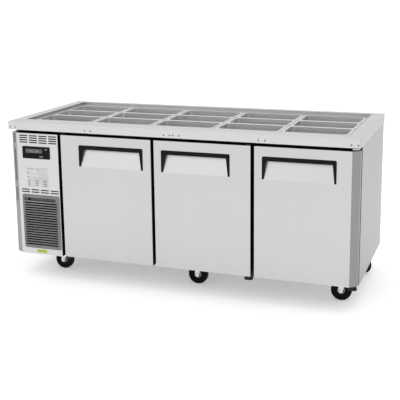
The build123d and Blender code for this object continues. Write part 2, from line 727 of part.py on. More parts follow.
def caster_fork():
    """The swivel fork: crown, two bent legs and the wheel's axle."""
    top = CROWN_Z - APART
    outside, inside = 21.5, 18.5
    fork = Pos(0, 0, top - 2) * Cylinder(27, 4) + block(0, TRAIL + 2, -outside, outside, top - 4, top)
    side = (
        (-18, top),
        (TRAIL + 2, top),
        (TRAIL + 11, 74),
        (TRAIL + 11, WHEEL_R),
        (TRAIL - 11, WHEEL_R),
        (TRAIL - 14, 72),
        (-18, 97),
    )
    for y0, y1 in ((-outside, -inside), (inside, outside)):
        fork += front_prism(side, y1, y0) + rod(11, (TRAIL, y0, WHEEL_R), (TRAIL, y1, WHEEL_R))
    fork += rod(AXLE_R, (TRAIL, -24, WHEEL_R), (TRAIL, 24, WHEEL_R))
    for turn in (-1, 1):
        fork += rod(9, (TRAIL, turn * outside, WHEEL_R), (TRAIL, turn * 27, WHEEL_R))
    return fork - rod(6 + RUNNING, (0, 0, 90), (0, 0, 110))


def caster_wheel():
    """A solid wheel with a rounded tread, a sunk web and a hub."""
    half = WHEEL_WIDE / 2
    tyre = Rot(90, 0, 0) * Cylinder(WHEEL_R, WHEEL_WIDE)
    tyre = fillet(tyre.edges(), 7)
    for side in (-1, 1):
        dish = rod(36, (0, side * (half - 4), 0), (0, side * (half + 1), 0))
        tyre = tyre - (dish - rod(15, (0, side * (half - 5), 0), (0, side * (half + 2), 0)))
    hub = rod(13, (0, -18, 0), (0, 18, 0))
    wheel = tyre + hub - rod(AXLE_R + RUNNING, (0, -20, 0), (0, 20, 0))
    return Pos(TRAIL, 0, WHEEL_R) * wheel


def casters():
    """Six casters: the fixed plates in one node, each fork and wheel in its own."""
    plate, fork, wheel = caster_plate(), caster_fork(), caster_wheel()
    keep("caster_plates", *[Pos(x, y, 0) * plate for x, y, _ in CASTERS.values()])
    for name in CASTERS:
        keep(f"caster_fork_{name}", caster_place(name) * fork)
        keep(f"caster_wheel_{name}", caster_place(name) * wheel)


def fasteners():
    """Caster bolts under their plates, and the hinge brackets' screws."""
    bolts = []
    low = BASE_Z - 9
    head = Pos(0, 0, low) * extrude(RegularPolygon(6.5, 6), 5)
    bolt = head + rod(4.2, (0, 0, low + 4), (0, 0, BASE_Z))
    for x, y, _ in CASTERS.values():
        bolts += [Pos(x + i * BOLT_X, y + j * BOLT_Y, 0) * bolt for i in (-1, 1) for j in (-1, 1)]
    z = DOOR_HIGH + 10.5
    for x, _ in DOOR_PIN:
        bolts += [rod(3, (x + side, FACE_Y - 5, z), (x + side, FACE_Y - 3, z)) for side in (-8, 8)]
    return bolts


keep("worktop", worktop())
keep("pan_rail", *pan_rail(), *divider_bars())
pans()
keep("outer_casing", *outer_casing(), bulkhead())
keep("insulation", *insulation())
keep("cabinet_liner", cabinet_liner())
keep("mullion_posts", *mullion_posts())
keep("wire_shelves", *[wire_shelf(*ends) for ends in SHELF_X])
for index in range(3):
    skin, plate, core = door(index)
    keep(f"door_{index + 1}_panel", skin, plate)
    keep(f"door_{index + 1}_foam", core)
    keep(f"door_{index + 1}_gasket", gasket(index))
    keep(f"door_{index + 1}_handle", handle(DOOR_HANDLE_X[index]))
keep("hinge_brackets", *hinge_brackets())
keep("louvre_panel", louvre_panel())
keep("controller_housing", controller_housing())
keep("controller_key", controller_key())
keep("filter_grille", filter_grille())
keep("grille_knob", grille_knob())
keep("condenser", condenser())
keep("condenser_fan", condenser_fan())
keep("evaporator", evaporator())
keep("evaporator_fan", evaporator_fan())
keep("fan_motors", *fan_motors())
keep("compressor", compressor())
casters()
keep("fasteners", *fasteners(), *shelf_clips())

os.makedirs("parts", exist_ok=True)
for name, solids in PARTS.items():
    shape = solids[0] if len(solids) == 1 else Compound(children=solids)
    export_step(shape, f"parts/{name}.step")
print(len(PARTS), "nodes")
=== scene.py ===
"""Looks of the refrigerated sandwich prep table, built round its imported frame."""

import json
import math

import bmesh
import bpy
from mathutils import Matrix, Vector

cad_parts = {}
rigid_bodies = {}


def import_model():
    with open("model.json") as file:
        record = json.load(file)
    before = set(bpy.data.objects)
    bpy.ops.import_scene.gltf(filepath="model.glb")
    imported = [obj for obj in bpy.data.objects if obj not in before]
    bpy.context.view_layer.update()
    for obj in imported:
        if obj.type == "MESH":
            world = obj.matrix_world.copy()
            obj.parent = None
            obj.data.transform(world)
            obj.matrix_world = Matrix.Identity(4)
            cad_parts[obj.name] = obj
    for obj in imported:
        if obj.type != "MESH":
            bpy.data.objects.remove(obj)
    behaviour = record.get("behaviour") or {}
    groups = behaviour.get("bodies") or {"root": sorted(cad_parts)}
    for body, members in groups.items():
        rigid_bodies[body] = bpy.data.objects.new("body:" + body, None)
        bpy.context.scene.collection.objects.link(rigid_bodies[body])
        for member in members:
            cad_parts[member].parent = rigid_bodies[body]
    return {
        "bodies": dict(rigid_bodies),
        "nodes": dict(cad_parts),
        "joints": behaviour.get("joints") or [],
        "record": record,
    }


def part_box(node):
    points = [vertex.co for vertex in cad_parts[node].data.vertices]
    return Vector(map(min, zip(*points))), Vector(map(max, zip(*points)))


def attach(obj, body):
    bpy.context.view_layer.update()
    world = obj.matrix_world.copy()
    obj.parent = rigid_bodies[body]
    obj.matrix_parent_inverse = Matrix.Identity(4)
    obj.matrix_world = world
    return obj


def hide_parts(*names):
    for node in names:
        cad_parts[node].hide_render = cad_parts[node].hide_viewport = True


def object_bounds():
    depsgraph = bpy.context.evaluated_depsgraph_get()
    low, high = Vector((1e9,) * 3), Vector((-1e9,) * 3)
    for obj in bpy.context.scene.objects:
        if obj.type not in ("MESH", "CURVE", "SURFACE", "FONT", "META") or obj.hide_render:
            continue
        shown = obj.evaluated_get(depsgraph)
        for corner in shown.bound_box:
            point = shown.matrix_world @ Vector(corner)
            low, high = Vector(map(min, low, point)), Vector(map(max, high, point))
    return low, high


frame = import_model()
cad_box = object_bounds()
NODES = frame["nodes"]
MM = 0.001


# --- Camera -------------------------------------------------------------------------------

EYE = Vector((1.4705, -4.0467, 1.5142))
HEADING, PITCH, ROLL = 0.3529, 0.2001, -0.0123
FOCAL_PX, FRAME_PX, SENSOR_MM = 841.6, 400, 36.0
CENTRE_PX = (195.1, 152.0)


def make_camera():
    data = bpy.data.cameras.new("camera")
    data.sensor_width = SENSOR_MM
    data.lens = FOCAL_PX / FRAME_PX * SENSOR_MM
    data.shift_x = (FRAME_PX / 2 - CENTRE_PX[0]) / FRAME_PX
    data.shift_y = (CENTRE_PX[1] - FRAME_PX / 2) / FRAME_PX
    camera = bpy.data.objects.new("camera", data)
    bpy.context.scene.collection.objects.link(camera)
    level_share = math.cos(PITCH)
    look = Vector((-math.sin(HEADING) * level_share, math.cos(HEADING) * level_share, -math.sin(PITCH)))
    level = Vector((math.cos(HEADING), math.sin(HEADING), 0))
    up = level.cross(look)
    right = level * math.cos(ROLL) + up * math.sin(ROLL)
    turn = Matrix((right, right.cross(look), -look)).transposed().to_4x4()
    camera.matrix_world = Matrix.Translation(EYE) @ turn
    bpy.context.scene.camera = camera


# --- Material tools ------------------------------------------------------------------------


class Shader:
    """A material with one Principled shader, and short calls for the nodes that feed it."""

    def __init__(self, name):
        self.material = bpy.data.materials.new(name)
        self.material.use_nodes = True
        self.tree = self.material.node_tree
        self.bsdf = self.tree.nodes["Principled BSDF"]

    def add(self, kind, **inputs):
        node = self.tree.nodes.new(kind)
        for name, value in inputs.items():
            self.put(node.inputs[name.replace("_", " ")], value)
        return node

    def put(self, socket, value):
        if isinstance(value, bpy.types.NodeSocket):
            self.tree.links.new(value, socket)
        else:
            socket.default_value = value

    def set(self, **inputs):
        for name, value in inputs.items():
            self.put(self.bsdf.inputs[name.replace("_", " ")], value)
        return self

    def math(self, operation, a, b=0.0, clamp=False):
        node = self.tree.nodes.new("ShaderNodeMath")
        node.operation = operation
        node.use_clamp = clamp
        self.put(node.inputs[0], a)
        self.put(node.inputs[1], b)
        return node.outputs[0]

    def mix(self, factor, a, b):
        node = self.tree.nodes.new("ShaderNodeMix")
        node.data_type = "RGBA"
        self.put(node.inputs[0], factor)
        self.put(node.inputs[6], a)
        self.put(node.inputs[7], b)
        return node.outputs[2]

    def place(self, scale=(1, 1, 1)):
        coords = self.add("ShaderNodeTexCoord")
        mapping = self.add("ShaderNodeMapping", Vector=coords.outputs["Object"], Scale=scale)
        return mapping.outputs[0]

    def looks(self, axis, low, high=2.0):
        """1 where the object-space normal's share along an axis, 0 for X to 2 for Z, is in a range."""
        share = self.math("ABSOLUTE", self.split(self.add("ShaderNodeTexCoord").outputs["Normal"])[axis])
        above, below = self.math("GREATER_THAN", share, low), self.math("LESS_THAN", share, high)
        return self.math("MULTIPLY", above, below)

    def split(self, vector):
        return self.add("ShaderNodeSeparateXYZ", Vector=vector).outputs

    def noise(self, scale, detail=3.0, stretch=(1, 1, 1)):
        node = self.add("ShaderNodeTexNoise", Vector=self.place(stretch), Scale=scale, Detail=detail)
        return node.outputs[0]

    def ramp(self, value, low, high, low_to, high_to):
        node = self.add("ShaderNodeMapRange", Value=value)
        for socket, number in zip(node.inputs[1:5], (low, high, low_to, high_to)):
            socket.default_value = number
        return node.outputs[0]

    def bump(self, height, strength, distance):
        node = self.add("ShaderNodeBump", Height=height, Strength=strength, Distance=distance)
        self.put(self.bsdf.inputs["Normal"], node.outputs[0])
        return self


def grey(value, tint=(1.0, 1.0, 1.0)):
    return (value * tint[0], value * tint[1], value * tint[2], 1.0)


STEEL_TINT = (0.985, 0.995, 1.0)
GRAIN = {"x": (0.015, 1, 1), "y": (1, 0.015, 1), "z": (1, 1, 0.015)}


def brushed(name, tone, grain, rough, spread=0.014, bevel=None, end=None, slope=None):
    """Brushed steel: fine streaks along the grain and faint clouds.

    bevel, end and slope paint another tone on faces that look along set axes in the object's own space:
    painted shade and painted highlight that stand in for reflections of the studio, not a change in the
    metal.
    """
    s = Shader(name)
    streak = s.noise(900, 2, GRAIN[grain])
    band = s.noise(120, 3, GRAIN[grain])
    cloud = s.noise(2.2, 2)
    both = s.math("ADD", s.math("MULTIPLY", streak, 0.5), s.math("MULTIPLY", band, 0.5))
    shade = s.math("ADD", s.math("MULTIPLY", both, 0.75), s.math("MULTIPLY", cloud, 0.25))
    dark, light = grey(tone - spread, STEEL_TINT), grey(tone + spread, STEEL_TINT)
    colour = s.mix(s.ramp(shade, 0.35, 0.65, 0, 1), dark, light)
    # Painted shade and highlight: a tone picked by the face's direction replaces the steel's own colour.
    for painted_tone, axis, low, high in ((bevel, 0, 0.5, 0.75), (end, 0, 0.9, 2.0), (slope, 2, 0.1, 0.5)):
        if painted_tone:
            dark, light = grey(painted_tone - 0.01, STEEL_TINT), grey(painted_tone + 0.02, STEEL_TINT)
            streaked = s.mix(s.ramp(streak, 0.35, 0.65, 0, 1), dark, light)
            colour = s.mix(s.looks(axis, low, high), colour, streaked)
    s.set(Base_Color=colour, Metallic=1.0, Roughness=s.ramp(both, 0.3, 0.7, rough - 0.07, rough + 0.07))
    s.bump(streak, 0.12, 0.0002)
    return s.material


def mitred(name, tone):
    """The worktop's steel: grain along each rim, meeting at the mitred corners, and end faces painted darker
    as painted shade.
    """
    s = Shader(name)
    x, y, _ = s.split(s.place())
    half_x, half_y = cad_box[1].x, cad_box[1].y
    from_end = s.math("SUBTRACT", half_x, s.math("ABSOLUTE", x))
    from_front = s.math("SUBTRACT", half_y, s.math("ABSOLUTE", y))
    gap = s.math("SUBTRACT", from_front, from_end)
    side = s.math("GREATER_THAN", gap, 0.0)
    seam = s.math("LESS_THAN", s.math("ABSOLUTE", gap), 0.0011)
    along = s.noise(700, 2, GRAIN["x"])
    across = s.noise(700, 2, GRAIN["y"])
    front_share = s.math("MULTIPLY", along, s.math("SUBTRACT", 1.0, side))
    streak = s.math("ADD", front_share, s.math("MULTIPLY", across, side))
    cloud = s.noise(2.6, 2)
    shade = s.math("ADD", s.math("MULTIPLY", streak, 0.7), s.math("MULTIPLY", cloud, 0.3))
    dark, light = grey(tone - 0.03, STEEL_TINT), grey(tone + 0.03, STEEL_TINT)
    plain = s.mix(s.ramp(shade, 0.35, 0.65, 0, 1), dark, light)
    # Painted shade: faces that look along X take a darker tone.
    end_shaded = s.mix(s.looks(0, 0.9), plain, grey(tone * 0.7, STEEL_TINT))
    s.set(Base_Color=s.mix(seam, end_shaded, grey(0.22)), Metallic=1.0)
    s.set(Roughness=s.ramp(streak, 0.3, 0.7, 0.27, 0.41))
    s.bump(streak, 0.12, 0.0002)
    return s.material


def moulded(name, colour, rough, grain=1500, depth=0.00008, shine=0.3, painted_shade=False):
    """Plastic, paint or rubber with a fine surface. Its last flag paints faces that look up or down
    near-black, as painted shade.
    """
    s = Shader(name)
    fine = s.noise(grain, 3)
    cloud = s.noise(14, 2)
    darker = tuple(c * 0.8 for c in colour[:3]) + (1.0,)
    clouded = s.mix(s.ramp(cloud, 0.35, 0.65, 0, 1), colour, darker)
    if painted_shade:
        # Painted shade: faces that look up or down turn near-black.
        clouded = s.mix(s.looks(2, 0.7), clouded, grey(0.012))
    s.set(Base_Color=clouded, Roughness=s.ramp(fine, 0.3, 0.7, rough - 0.08, rough + 0.08))
    s.set(Specular_IOR_Level=shine)
    s.bump(fine, 0.35, depth)
    return s.material


def plated(name, tone, rough):
    """Bright zinc or nickel plate with soft cloudy stains."""
    s = Shader(name)
    cloud = s.noise(60, 4)
    fine = s.noise(800, 2)
    colour = s.mix(s.ramp(cloud, 0.3, 0.7, 0, 1), grey(tone - 0.1), grey(tone + 0.06))
    s.set(Base_Color=colour, Metallic=1.0, Roughness=s.ramp(cloud, 0.3, 0.7, rough - 0.06, rough + 0.1))
    s.bump(fine, 0.1, 0.0001)
    return s.material


def foam(name):
    s = Shader(name)
    cells = s.add("ShaderNodeTexVoronoi", Vector=s.place(), Scale=500.0)
    s.set(Base_Color=s.mix(s.noise(8), (0.78, 0.68, 0.42, 1), (0.7, 0.6, 0.34, 1)), Roughness=0.9)
    s.bump(cells.outputs["Distance"], 0.5, 0.0008)
    return s.material


def woven(name, colour, pitch):
    """A fine filter net: square threads with dark holes between them."""
    s = Shader(name)
    x, _, z = s.split(s.place())
    waves = [s.math("SINE", s.math("MULTIPLY", along, math.pi / pitch)) for along in (x, z)]
    threads = [s.math("ABSOLUTE", wave) for wave in waves]
    net = s.math("MINIMUM", *threads)
    hole = s.ramp(net, 0.35, 0.6, 0, 1)
    s.set(Base_Color=s.mix(hole, colour, grey(0.002)), Roughness=0.8, Specular_IOR_Level=0.05)
    s.bump(hole, 0.6, -0.0004)
    return s.material


STEEL = {
    # casing is the doors' brushed steel at a darker tone: painted shade for the cabinet's side panels. door
    # has painted shade on its bevels (0.26) and side faces (0.3) and a painted highlight on its upward slopes
    # (0.66); panel has painted shade on its bevel (0.26).
    "casing": brushed("casing_steel", 0.32, "z", 0.36, 0.01),
    "door": brushed("door_steel", 0.54, "z", 0.34, bevel=0.26, end=0.3, slope=0.66),
    "panel": brushed("panel_steel", 0.585, "x", 0.36, 0.012, bevel=0.26),
    "liner": brushed("liner_steel", 0.5, "x", 0.3),
    "pan": brushed("pan_steel", 0.66, "x", 0.3, 0.012),
    "top": mitred("worktop_steel", 0.585),
}
BLACK = moulded("black_plastic", (0.006, 0.006, 0.007, 1), 0.5, shine=0.1)
BLACK_PAINT = moulded("black_paint", (0.012, 0.012, 0.013, 1), 0.4, 400, 0.00005)
KEY = moulded("key_plastic", (0.17, 0.17, 0.175, 1), 0.5)
# The grille's faces that look up or down are painted near-black: painted shade in the slots between its bars.
GRILLE = moulded("grille_plastic", (0.2, 0.2, 0.21, 1), 0.5, shine=0.2, painted_shade=True)
# The grille's plastic at a darker tone: painted shade for its ribs and finger recess.
GRILLE_IN_SHADE = moulded("recess_plastic", (0.085, 0.085, 0.092, 1), 0.55)
RUBBER = moulded("gasket_rubber", (0.006, 0.006, 0.006, 1), 0.7, shine=0.12)
WHEEL = moulded("wheel_rubber", (0.004, 0.004, 0.005, 1), 0.55, 900, 0.0001, shine=0.1)
LENS = moulded("display_lens", (0.09, 0.09, 0.095, 1), 0.2, 300, 0.00002, shine=0.5)
DIGITS = moulded("display_digits", (0.32, 0.33, 0.34, 1), 0.4, 900, 0.00003)
PAPER = moulded("label_paper", (0.62, 0.63, 0.63, 1), 0.6, 900, 0.00003)
INK = moulded("label_ink", (0.11, 0.11, 0.12, 1), 0.6, 900, 0.00003)
STICKER = moulded("sticker_vinyl", (0.47, 0.48, 0.02, 1), 0.45, 900, 0.00003)
NET = woven("filter_net", grey(0.003), 0.0022)
BRIGHT = plated("bright_plate", 0.72, 0.16)
ZINC = plated("zinc_plate", 0.42, 0.3)
COIL = plated("coil_aluminium", 0.5, 0.4)
WIRE = moulded("coated_wire", (0.55, 0.56, 0.56, 1), 0.35, 300, 0.0001)
SLOTS = {
    "casing_steel": STEEL["casing"],
    "door_steel": STEEL["door"],
    "liner_steel": STEEL["liner"],
    "pan_steel": STEEL["pan"],
    "foam": foam("foam"),
    "coated_wire": WIRE,
    "zinc": ZINC,
    "bright_steel": BRIGHT,
    "black_metal": BLACK_PAINT,
    "black_plastic": BLACK,
    "key_plastic": KEY,
    "grille_plastic": GRILLE,
    "gasket_rubber": RUBBER,
    "wheel_rubber": WHEEL,
    "coil_aluminium": COIL,
}


def dress_nodes():
    """Gives every carried-over node the material of its record slot."""
    for part in frame["record"]["subparts"]:
        material = SLOTS[part["material_slot"]]
        if part["node"] == "worktop":
            material = STEEL["top"]
        if part["node"] == "louvre_panel":
            material = STEEL["panel"]
        for slot in NODES[part["node"]].material_slots:
            slot.material = material


# --- Piece tools ---------------------------------------------------------------------------

FRONT = (0, -1, 0)
UP = (0, 0, 1)
ARC_STEPS = 6
CIRCLE_STEPS = 36


def facing(point, normal):
    """A place at point whose Z looks along normal, with Y upright where it can be."""
    z = Vector(normal).normalized()
    x = (Vector(UP) if abs(z.z) < 0.9 else Vector((0, 1, 0))).cross(z).normalized()
    return Matrix.Translation(Vector(point)) @ Matrix((x, z.cross(x), z)).transposed().to_4x4()


class Piece:
    """A mesh under construction from lofted, rounded and turned shapes. Its sizes are in metres."""

    def __init__(self):
        self.bm = bmesh.new()

    def loft(self, rings, closed=False):
        """Skins rings that have as many points each, and caps the two ends unless they join."""
        made = [[self.bm.verts.new(point) for point in ring] for ring in rings]
        for lower, upper in zip(made, made[1:] + made[:1] if closed else made[1:]):
            for i, point in enumerate(lower):
                j = (i + 1) % len(lower)
                self.bm.faces.new((point, lower[j], upper[j], upper[i]))
        if not closed:
            self.bm.faces.new(reversed(made[0]))
            self.bm.faces.new(made[-1])
        return self

    def plate(self, place, wide, high, thick, corner, soft=None):
        """A rounded plate in place's XY plane that rises along its Z to a softened front edge."""
        soft = min(thick, corner) * 0.5 if soft is None else soft
        rings = []
        for lift, inset in ((0, 0), (thick - soft, 0), (thick - soft * 0.3, soft * 0.3), (thick, soft)):
            ring = []
            for i in range(4 * (ARC_STEPS + 1)):
                quarter, step = divmod(i, ARC_STEPS + 1)
                angle = (quarter + step / ARC_STEPS) * math.pi / 2
                side_x, side_y = (1, -1, -1, 1)[quarter], (1, 1, -1, -1)[quarter]
                radius = max(corner - inset, corner * 0.05)
                x = side_x * (wide / 2 - corner) + radius * math.cos(angle)
                y = side_y * (high / 2 - corner) + radius * math.sin(angle)
                ring.append(place @ Vector((x, y, lift)))
            rings.append(ring)
        return self.loft(rings)

    def turned(self, place, profile, ring=False):
        """A solid of revolution about place's Z from (radius, height) points; a ring has a closed profile."""
        turns = [i / CIRCLE_STEPS * math.tau for i in range(CIRCLE_STEPS)]
        return self.loft(
            [[place @ Vector((r * math.cos(a), r * math.sin(a), h)) for a in turns] for r, h in profile], ring
        )

    def done(self, name, body, slot, material, sharp=32):
        bmesh.ops.recalc_face_normals(self.bm, faces=self.bm.faces)
        mesh = bpy.data.meshes.new(name)
        self.bm.to_mesh(mesh)
        self.bm.free()
        mesh.shade_smooth()
        mesh.set_sharp_from_angle(angle=math.radians(sharp))
        mesh.materials.append(material)
        piece = bpy.data.objects.new(name, mesh)
        bpy.context.scene.collection.objects.link(piece)
        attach(piece, body)
        return piece


def strip(piece, low, high, normal, thick, corner=0.0006):
    """A thin rounded strip over the rectangle between two corners, on the side that normal looks to."""
    low, high = Vector(low), Vector(high)
    place = facing((low + high) / 2, normal)
    size = high - low
    wide = abs(size.dot(place.col[0].xyz))
    tall = abs(size.dot(place.col[1].xyz))
    piece.plate(place, wide, tall, thick, min(corner, wide / 3, tall / 3))


# --- Cabinet trim --------------------------------------------------------------------------

BOX = {name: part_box(name) for name in NODES}
DOORS = [BOX[f"door_{n}_panel"] for n in (1, 2, 3)]
PINS = {joint["name"]: joint for joint in frame["joints"] if joint["name"].endswith("_hinge")}
# Thickness of the black films that paint shade into gaps and under the worktop.
SHADE_FILM = 0.3 * MM
CEILING_Z, COVER_LOW_Z = 660 * MM, 446 * MM  # Of the bulkhead sheet, and of the electrical box below it.
BEVEL_X, BEVEL_Y = 41.2 * MM, 28 * MM
FACE_Y = BOX["mullion_posts"][0].y
TOP_UNDER = BOX["worktop"][0].z


def door_gap_films():
    """Black film on the doors' sides and tops, painted shade for the gaps round them, all but the front of
    the last door's right side.
    """
    for n, (low, high) in enumerate(DOORS, 1):
        gap_film = Piece()
        y0, y1 = low.y + 3.5 * MM, low.y + 57.5 * MM
        top_end = high.x - (38 if n == 3 else 2) * MM
        strip(gap_film, (low.x + 2 * MM, y0, high.z), (top_end, y1, high.z), UP, SHADE_FILM)
        strip(gap_film, (low.x, y0, low.z + 2 * MM), (low.x, y1, high.z - MM), (-1, 0, 0), SHADE_FILM)
        if n < 3:
            strip(gap_film, (high.x, y0, low.z + 2 * MM), (high.x, y1, high.z - MM), (1, 0, 0), SHADE_FILM)
        else:
            strip(gap_film, (high.x, y1 - 11 * MM, low.z + 2 * MM), (high.x, y1, high.z - MM), (1, 0, 0), SHADE_FILM)
        gap_film.done(f"door_{n}_gap_shade", f"door_{n}", "gasket_rubber", RUBBER)


def face_seals():
    """Black strips of painted shade: on the cabinet's face in the gaps round the doors, along the louvre
    panel's top and right edges, and as thin dark lines under the worktop's ends.
    """
    shade_strips = Piece()
    margin = 16 * MM
    panel_low, panel_high = BOX["louvre_panel"]
    low_z, high_z = DOORS[0][0].z, DOORS[0][1].z
    for left, right in zip(DOORS, DOORS[1:]):
        low = (left[1].x - margin, FACE_Y, low_z + margin)
        strip(shade_strips, low, (right[0].x + margin, FACE_Y, high_z), FRONT, SHADE_FILM)
    door_left = DOORS[0][0].x + 6 * MM
    strip(shade_strips, (panel_high.x + SHADE_FILM, FACE_Y, low_z), (door_left, FACE_Y, high_z), FRONT, SHADE_FILM)
    right = DOORS[2][1].x
    strip(shade_strips, (right - 14 * MM, FACE_Y, low_z), (right - MM, FACE_Y, high_z), FRONT, SHADE_FILM)
    strip(shade_strips, (panel_low.x + 14 * MM, FACE_Y, high_z + MM), (right - MM, FACE_Y, TOP_UNDER), FRONT, SHADE_FILM)
    y0, y1 = panel_low.y + 3 * MM, FACE_Y - MM
    top_corner = (panel_high.x - MM, y1, panel_high.z)
    strip(shade_strips, (panel_low.x + 16 * MM, y0 + 24 * MM, panel_high.z), top_corner, UP, SHADE_FILM)
    strip(shade_strips, (panel_low.x + 42 * MM, y0, panel_high.z), top_corner, UP, SHADE_FILM)
    strip(shade_strips, (panel_high.x, y0, panel_low.z + MM), (panel_high.x, y1, panel_high.z - MM), (1, 0, 0), SHADE_FILM)
    case_low, case_high = BOX["outer_casing"]
    for x, outward in ((case_low.x, -1), (case_high.x, 1)):
        side = ((x, case_low.y + MM, TOP_UNDER - 2.4 * MM), (x, case_high.y - MM, TOP_UNDER))
        strip(shade_strips, *side, (outward, 0, 0), SHADE_FILM)
    shade_strips.done("face_seals", "cabinet", "gasket_rubber", RUBBER)


def compartment_lining():
    """Black sheets behind the louvres, painted shade for the compartment's inside: one on the bulkhead, and
    the cover of the electrical box below it, black for the same shade.
    """
    panel_low, panel_high = BOX["louvre_panel"]
    shade_sheets = Piece()
    sheet_top = (panel_high.x - 2 * MM, FACE_Y, panel_high.z - 2 * MM)
    strip(shade_sheets, (panel_low.x + 2 * MM, FACE_Y, CEILING_Z), sheet_top, FRONT, SHADE_FILM)
    cover_y = FACE_Y + 5 * MM
    cover_low = (panel_low.x + 3 * MM, cover_y, COVER_LOW_Z)
    cover_high = (panel_high.x + 5 * MM, cover_y, CEILING_Z - 3 * MM)
    strip(shade_sheets, cover_low, cover_high, FRONT, 1.2 * MM, 2 * MM)
    shade_sheets.done("compartment_lining", "cabinet", "black_metal", BLACK_PAINT)


def louvre_felts():
    """Black plates just behind the panel's slots, on its front and behind its bevel: painted shade that keeps
    the slots dark.
    """
    low, high = BOX["louvre_panel"]
    shade_plates = Piece()
    back_y = low.y + 1.3 * MM
    middle = (low.x + 44 * MM + high.x - 3 * MM) / 2
    for z, tall in ((high.z - 30 * MM, 50 * MM), (high.z - 301.5 * MM, 28 * MM)):
        place = facing((middle, back_y + MM, z), FRONT)
        shade_plates.plate(place, high.x - low.x - 50 * MM, tall, 0.8 * MM, 2 * MM)
    outward = Vector((-BEVEL_Y, -BEVEL_X, 0)).normalized()
    centre = Vector((low.x + BEVEL_X / 2, low.y + BEVEL_Y / 2, high.z - 188 * MM)) - outward * 2.1 * MM
    shade_plates.plate(facing(centre, outward), 30 * MM, 366 * MM, 0.8 * MM, 2 * MM)
    shade_plates.done("louvre_felts", "cabinet", "gasket_rubber", RUBBER)


def rivet_nuts():
    """A flanged threaded insert in each fascia hole of the record's mounts, with a black cup inside as
    painted shade for the hole's depth.
    """
    rings, hole_shades = Piece(), Piece()
    for mount in frame["record"]["mounts"]:
        if not mount["name"].startswith("fascia_holes"):
            continue
        half = mount["dims"]["spacing_x_mm"] * MM / 2
        for side in (-1, 1):
            place = facing(Vector(mount["pos_m"]) + Vector((side * half, 0, 0)), FRONT)
            hole, rim = mount["dims"]["hole_r_mm"] * MM, 5.2 * MM
            flange = ((hole, 0), (rim, 0), (rim, 0.25 * MM), (rim - 0.5 * MM, 0.6 * MM), (hole, 0.45 * MM))
            rings.turned(place, flange, ring=True)
            # Painted shade: a black cup lines each hole.
            hole_shade = ((hole, -3 * MM), (hole, -0.6 * MM), (hole * 0.5, -0.9 * MM), (0.1 * MM, -1.2 * MM))
            hole_shades.turned(place, hole_shade)
    rings.done("rivet_nuts", "cabinet", "zinc", ZINC)
    hole_shades.done("rivet_nut_threads", "cabinet", "black_metal", BLACK_PAINT)


def pin_of(door):
    return Vector(PINS[f"door_{door}_hinge"]["pos_m"])


def hinge_caps():
    """Rounded covers on the hinge brackets: a bright one over the last door, black ones below."""
    bright, black = Piece(), Piece()
    top, under = DOORS[2][1].z, BOX["hinge_brackets"][0].z
    pin = pin_of(3)
    centre = (pin.x, pin.y - 1 * MM)
    black.plate(facing((*centre, top + 1.4 * MM), UP), 41 * MM, 32 * MM, 5 * MM, 15.5 * MM, 1.5 * MM)
    bright.plate(facing((*centre, top + 6.5 * MM), UP), 35 * MM, 26 * MM, 4.5 * MM, 12.5 * MM, 2 * MM)
    for door in (2, 3):
        pin = pin_of(door)
        black.plate(facing((pin.x, pin.y, under - 1.5 * MM), UP), 43 * MM, 32 * MM, 9 * MM, 15 * MM, 2.5 * MM)
    bright.done("hinge_cap_bright", "cabinet", "bright_steel", BRIGHT)
    black.done("hinge_caps_black", "cabinet", "black_metal", BLACK_PAINT)


def gaskets():
    """The bellows seal round each door's inner plate, with its magnet tube and two lips."""
    profile = (
        (0.0, 0.0), (0.5, 3.0), (2.2, 4.4), (0.6, 6.2), (0.4, 8.6), (1.6, 9.5), (15.5, 9.5),
        (17.2, 8.4), (17.4, 6.4), (15.4, 5.0), (14.6, 3.6), (17.6, 2.0), (18.0, 0.0),
    )
    for n in (1, 2, 3):
        low, high = BOX[f"door_{n}_gasket"]
        rings = []
        for inward, out in profile:
            x0, x1 = low.x + inward * MM, high.x - inward * MM
            z0, z1 = low.z + inward * MM, high.z - inward * MM
            y = low.y + out * MM
            rings.append([(x0, y, z0), (x1, y, z0), (x1, y, z1), (x0, y, z1)])
        body = Piece().loft(rings, closed=True)
        seal = body.done(f"door_{n}_seal", f"door_{n}", "gasket_rubber", RUBBER, 50)
        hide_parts(f"door_{n}_gasket")


# --- Machine compartment front ----------------------------------------------------------------

SEGMENTS = {
    "a": (0, 1), "b": (1, 0.5), "c": (1, -0.5), "d": (0, -1), "e": (-1, -0.5), "f": (-1, 0.5), "g": (0, 0),
}
FIGURES = {"3": "abcdg", "8": "abcdefg"}


def figure(piece, name, centre):
    """A seven-segment figure."""
    wide, high, bar = 6 * MM, 12 * MM, 1.5 * MM
    for segment in FIGURES[name]:
        u, v = SEGMENTS[segment]
        size = (bar, high / 2 - bar) if u else (wide - bar, bar)
        place = facing(Vector(centre) + Vector((u * wide / 2, 0, v * high / 2)), FRONT)
        piece.plate(place, *size, 0.15 * MM, 0.5 * MM)


def controller_face():
    """The controller's lens, with a generic number and plain bars on it."""
    low, high = BOX["controller_housing"]
    front = low.y
    centre = (low.x + 66.75 * MM, front + 0.98 * MM, high.z - 23 * MM)
    Piece().plate(facing(centre, FRONT), 97 * MM, 21.5 * MM, 0.6 * MM, 1.5 * MM).done(
        "display_lens", "cabinet", "black_plastic", LENS
    )
    digits = Piece()
    y = front + 0.4 * MM
    for shift, name in ((-22, "3"), (-10, "8")):
        figure(digits, name, (centre[0] + shift * MM, y, centre[2]))
    for row in (-4, 0, 4):
        place = facing((centre[0] + 16 * MM, y, centre[2] + row * MM), FRONT)
        digits.plate(place, 22 * MM, 1.6 * MM, 0.15 * MM, 0.5 * MM)
    place = facing((high.x - 20 * MM, front, high.z - 12 * MM), FRONT)
    digits.plate(place, 14 * MM, 5 * MM, 0.5 * MM, 2.2 * MM)
    digits.done("display_marks", "cabinet", "key_plastic", DIGITS)


